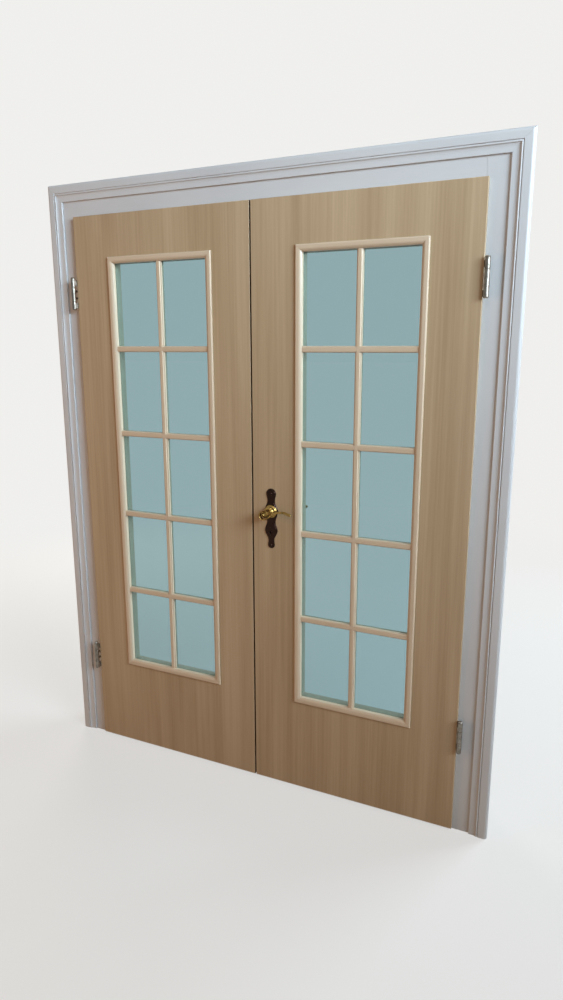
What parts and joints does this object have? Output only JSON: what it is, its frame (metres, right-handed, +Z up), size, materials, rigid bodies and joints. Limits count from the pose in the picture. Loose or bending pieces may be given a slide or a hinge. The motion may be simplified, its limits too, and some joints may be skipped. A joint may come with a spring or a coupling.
{
  "type": "double door",
  "caption": "Glazed double door in its timber frame: rebated leaves, glazing bars, projecting hinges, mortise lock with scrolled lever, flush bolts and moulded casings.",
  "frame": {"origin": "on the floor, midway across the casings and midway through the whole depth", "axes": "+X to the right of a person facing the hinge side, +Y away from them through the wall, +Z up"},
  "size_m": [1.636, 0.2346, 2.104],
  "materials": {
    "frame_paint": "white satin paint",
    "seal_rubber": "matt",
    "hinge_steel": "nickel plated",
    "lock_steel": "zinc plated",
    "leaf_laminate": "satin light hardwood, upright grain",
    "bead_timber": "satin pale hardwood",
    "glass": "clear",
    "brad_steel": "dulled",
    "dark_bronze": "antique, darkened",
    "lever_brass": "antique, polished on the high spots"
  },
  "bodies": {
    "frame": {"left_post": "frame_paint", "right_post": "frame_paint", "head_board": "frame_paint", "left_lining": "frame_paint", "right_lining": "frame_paint", "head_lining": "frame_paint", "left_moulding": "frame_paint", "right_moulding": "frame_paint", "head_moulding": "frame_paint", "left_back_casing": "frame_paint", "right_back_casing": "frame_paint", "head_back_casing": "frame_paint", "frame_seal": "seal_rubber", "head_bolt_keep": "lock_steel", "keep_screws": "lock_steel", "hinge_sockets": "hinge_steel", "hinge_pins": "hinge_steel"},
    "active_leaf": {"active_slab": "leaf_laminate", "active_glass": "glass", "active_brads": "brad_steel", "active_hinge_knuckles": "hinge_steel", "lock_case": "lock_steel", "lock_screws": "lock_steel", "front_plate": "dark_bronze", "back_plate": "dark_bronze", "plate_screws": "dark_bronze", "active_left_bead": "bead_timber", "active_right_bead": "bead_timber", "active_top_bead": "bead_timber", "active_bottom_bead": "bead_timber", "active_back_beads": "bead_timber", "active_upright_bar": "bead_timber", "active_crossbars": "bead_timber", "active_back_upright_bar": "bead_timber", "active_back_crossbars": "bead_timber"},
    "passive_leaf": {"passive_slab": "leaf_laminate", "passive_glass": "glass", "passive_brads": "brad_steel", "passive_hinge_knuckles": "hinge_steel", "strike_plate": "lock_steel", "flush_cases": "lock_steel", "edge_screws": "lock_steel", "passive_left_bead": "bead_timber", "passive_right_bead": "bead_timber", "passive_top_bead": "bead_timber", "passive_bottom_bead": "bead_timber", "passive_back_beads": "bead_timber", "passive_upright_bar": "bead_timber", "passive_crossbars": "bead_timber", "passive_back_upright_bar": "bead_timber", "passive_back_crossbars": "bead_timber"},
    "lever_set": {"front_lever": "lever_brass", "back_lever": "lever_brass", "spindle": "lock_steel", "lock_follower": "lock_steel"},
    "latch": {"latch_bolt": "lock_steel"},
    "dead_bolt": {"dead_bolt": "lock_steel"},
    "top_bolt": {"top_flush_bolt": "lock_steel"},
    "bottom_bolt": {"bottom_flush_bolt": "lock_steel"}
  },
  "joints": [
    {"name": "active_leaf_swing", "type": "hinge", "parent": "frame", "child": "active_leaf", "pos_m": [0.717, -0.06675, 1], "axis": [0, 0, 1], "range_deg": [0, 170]},
    {"name": "passive_leaf_swing", "type": "hinge", "parent": "frame", "child": "passive_leaf", "pos_m": [-0.717, -0.06675, 1], "axis": [0, 0, -1], "range_deg": [0, 170]},
    {"name": "lever_turn", "type": "hinge", "parent": "active_leaf", "child": "lever_set", "pos_m": [0.0585, -0.03925, 1.0125], "axis": [0, 1, 0], "range_deg": [0, 35], "stiffness_Nm_per_rad": 1.2, "springref_deg": -22.92},
    {"name": "latch_slide", "type": "slide", "parent": "active_leaf", "child": "latch", "axis": [1, 0, 0], "range_m": [0, 0.011]},
    {"name": "dead_bolt_slide", "type": "slide", "parent": "active_leaf", "child": "dead_bolt", "axis": [-1, 0, 0], "range_m": [0, 0.02]},
    {"name": "top_bolt_slide", "type": "slide", "parent": "passive_leaf", "child": "top_bolt", "axis": [0, 0, 1], "range_m": [0, 0.018]},
    {"name": "bottom_bolt_slide", "type": "slide", "parent": "passive_leaf", "child": "bottom_bolt", "axis": [0, 0, -1], "range_m": [0, 0.018]}
  ],
  "couplings": [
    {"joint": "passive_leaf_swing", "follows": "active_leaf_swing", "ratio": 1},
    {"joint": "latch_slide", "follows": "lever_turn", "m_per_rad": 0.018}
  ]
}
